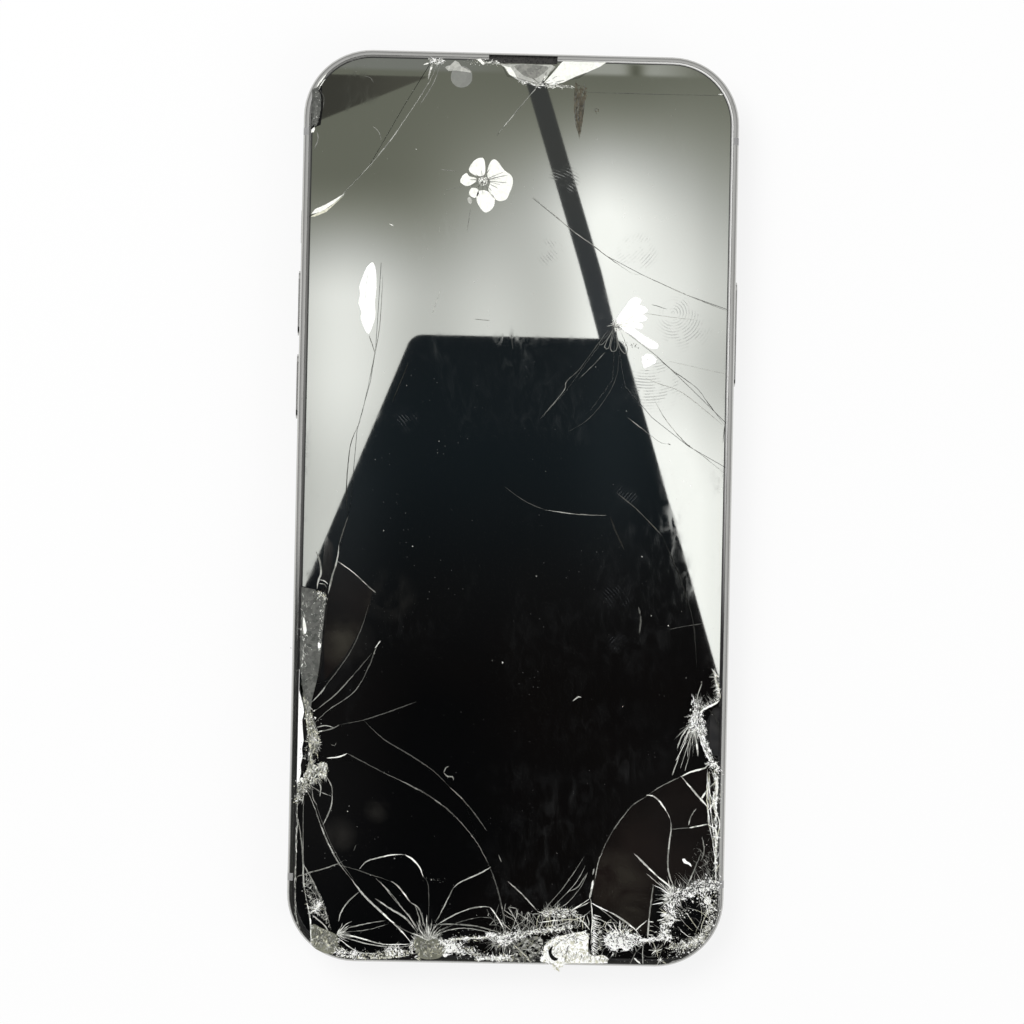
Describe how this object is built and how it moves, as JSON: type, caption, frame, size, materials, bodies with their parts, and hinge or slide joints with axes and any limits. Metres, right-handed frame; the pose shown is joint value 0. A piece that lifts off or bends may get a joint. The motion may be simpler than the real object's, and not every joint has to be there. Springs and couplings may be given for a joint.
{
  "type": "shattered screen phone",
  "caption": "Slab smartphone lying screen up, its cover glass shattered along the lower end and both edges, with working side buttons and card tray.",
  "frame": {"origin": "centre of the footprint, level with the lowest faces of the rear lens rings", "axes": "+X towards the power button, +Y towards the earpiece, +Z out of the screen"},
  "size_m": [0.071, 0.147, 0.0088],
  "materials": {
    "polished_steel": "polished, handled",
    "antenna_plastic": "satin",
    "back_glass": "gloss black, backed with ink",
    "cover_glass": "gloss black over the dark panel, white where crushed",
    "lens_glass": "gloss",
    "flash_lens": "ribbed",
    "led_yellow": "gloss",
    "bezel_plastic": "satin",
    "display_black": "gloss, unlit",
    "graphite_sheet": "matt",
    "gasket_foam": "matt foam with adhesive",
    "fine_mesh": "woven",
    "module_black": "moulded",
    "sheet_steel": "stamped",
    "battery_film": "wrapped film",
    "white_adhesive": "stretchy strip",
    "flex_amber": "polyimide film",
    "board_green": "solder mask",
    "tin_shield": "stamped",
    "screw_steel": "turned",
    "copper_coil": "wound wire",
    "tungsten": "sintered"
  },
  "bodies": {
    "phone": {"frame": "polished_steel", "antenna_bands": "antenna_plastic", "back_glass": "back_glass", "camera_plateau": "back_glass", "lens_ring_upper": "polished_steel", "lens_ring_lower": "polished_steel", "lens_glass_upper": "lens_glass", "lens_glass_lower": "lens_glass", "rear_camera_upper": "module_black", "rear_camera_lower": "module_black", "camera_bracket": "sheet_steel", "flash_lens": "flash_lens", "flash_led": "led_yellow", "cover_glass": "cover_glass", "display_bezel": "bezel_plastic", "display_panel": "display_black", "display_backing": "graphite_sheet", "display_gasket": "gasket_foam", "earpiece_mesh": "fine_mesh", "earpiece_speaker": "module_black", "front_camera": "module_black", "proximity_sensor": "module_black", "sensor_bracket": "sheet_steel", "battery": "battery_film", "battery_adhesive": "white_adhesive", "battery_tab": "flex_amber", "logic_board": "board_green", "board_shields": "tin_shield", "board_screws": "screw_steel", "connector_cover": "sheet_steel", "display_flex": "flex_amber", "sim_reader": "tin_shield", "wireless_coil": "copper_coil", "side_switches": "module_black", "vibration_case": "sheet_steel", "vibration_cover": "sheet_steel", "loudspeaker": "module_black", "speaker_meshes": "fine_mesh", "charge_port_shell": "sheet_steel", "port_tongue": "module_black", "bottom_flex": "flex_amber", "bottom_microphone": "tin_shield", "bottom_screws": "screw_steel"},
    "power_button": {"power_button": "polished_steel"},
    "volume_up_button": {"volume_up_button": "polished_steel"},
    "volume_down_button": {"volume_down_button": "polished_steel"},
    "mute_switch": {"mute_switch": "polished_steel"},
    "sim_tray": {"sim_tray": "polished_steel"},
    "vibration_mass": {"vibration_mass": "tungsten"},
    "lens_barrel_upper": {"lens_barrel_upper": "module_black"},
    "lens_barrel_lower": {"lens_barrel_lower": "module_black"}
  },
  "joints": [
    {"name": "power_press", "type": "slide", "parent": "phone", "child": "power_button", "axis": [-1, 0, 0], "range_m": [0, 0.00025], "stiffness_N_per_m": 1500},
    {"name": "volume_up_press", "type": "slide", "parent": "phone", "child": "volume_up_button", "axis": [1, 0, 0], "range_m": [0, 0.00025], "stiffness_N_per_m": 1500},
    {"name": "volume_down_press", "type": "slide", "parent": "phone", "child": "volume_down_button", "axis": [1, 0, 0], "range_m": [0, 0.00025], "stiffness_N_per_m": 1500},
    {"name": "mute_slide", "type": "slide", "parent": "phone", "child": "mute_switch", "axis": [0, 0, 1], "range_m": [0, 0.0012]},
    {"name": "sim_tray_slide", "type": "slide", "parent": "phone", "child": "sim_tray", "axis": [1, 0, 0], "range_m": [0, 0.0195]},
    {"name": "vibration_slide", "type": "slide", "parent": "phone", "child": "vibration_mass", "axis": [1, 0, 0], "range_m": [-0.0006, 0.0006], "stiffness_N_per_m": 400},
    {"name": "focus_upper", "type": "slide", "parent": "phone", "child": "lens_barrel_upper", "axis": [0, 0, -1], "range_m": [0, 0.0003], "stiffness_N_per_m": 400},
    {"name": "focus_lower", "type": "slide", "parent": "phone", "child": "lens_barrel_lower", "axis": [0, 0, -1], "range_m": [0, 0.0003], "stiffness_N_per_m": 400}
  ]
}
